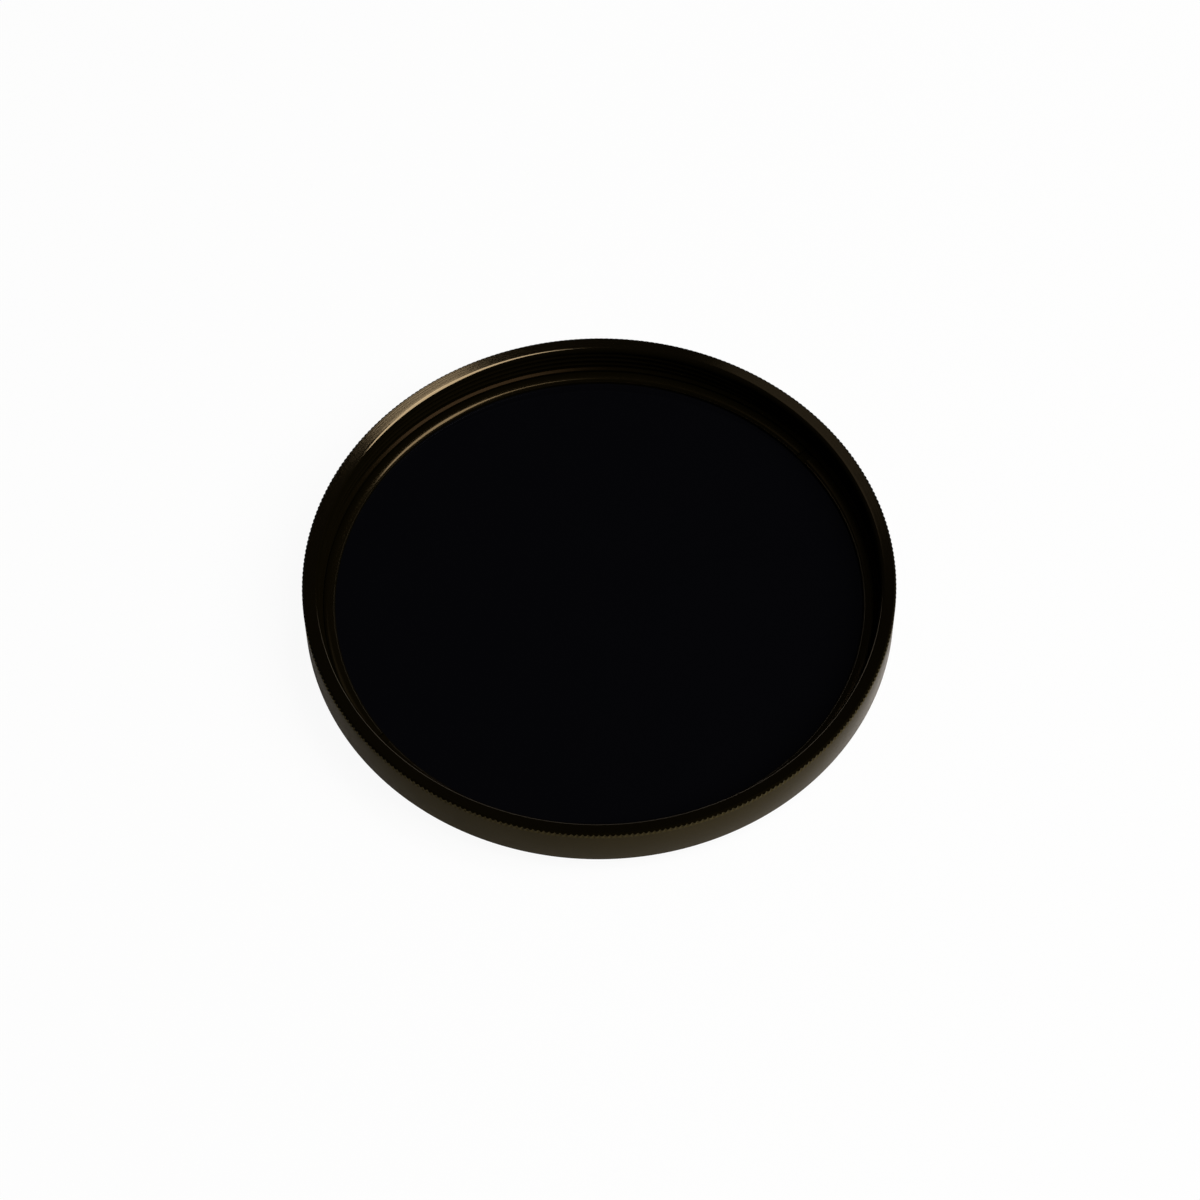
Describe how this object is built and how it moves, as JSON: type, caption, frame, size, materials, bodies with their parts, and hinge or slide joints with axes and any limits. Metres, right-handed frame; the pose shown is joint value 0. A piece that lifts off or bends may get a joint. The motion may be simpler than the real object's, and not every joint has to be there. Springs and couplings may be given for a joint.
{
  "type": "screw-in lens filter",
  "caption": "Round screw-in lens filter: a black knurled metal ring, threaded at the front and rear, holds a dense dark glass disc under a slotted retaining ring.",
  "frame": {"origin": "centre of the rear thread's end face, on which the filter lies", "axes": "+Z along the optical axis, towards the front rim"},
  "size_m": [0.0604, 0.0604, 0.007],
  "materials": {
    "black_anodised_ring": "turned and knurled aluminium, black anodised, satin",
    "dark_filter_glass": "polished optical glass, dense enough to look black",
    "black_anodised_retainer": "turned aluminium, black anodised, satin"
  },
  "bodies": {
    "root": {"filter_ring": "black_anodised_ring", "filter_glass": "dark_filter_glass", "retaining_ring": "black_anodised_retainer"}
  },
  "joints": []
}
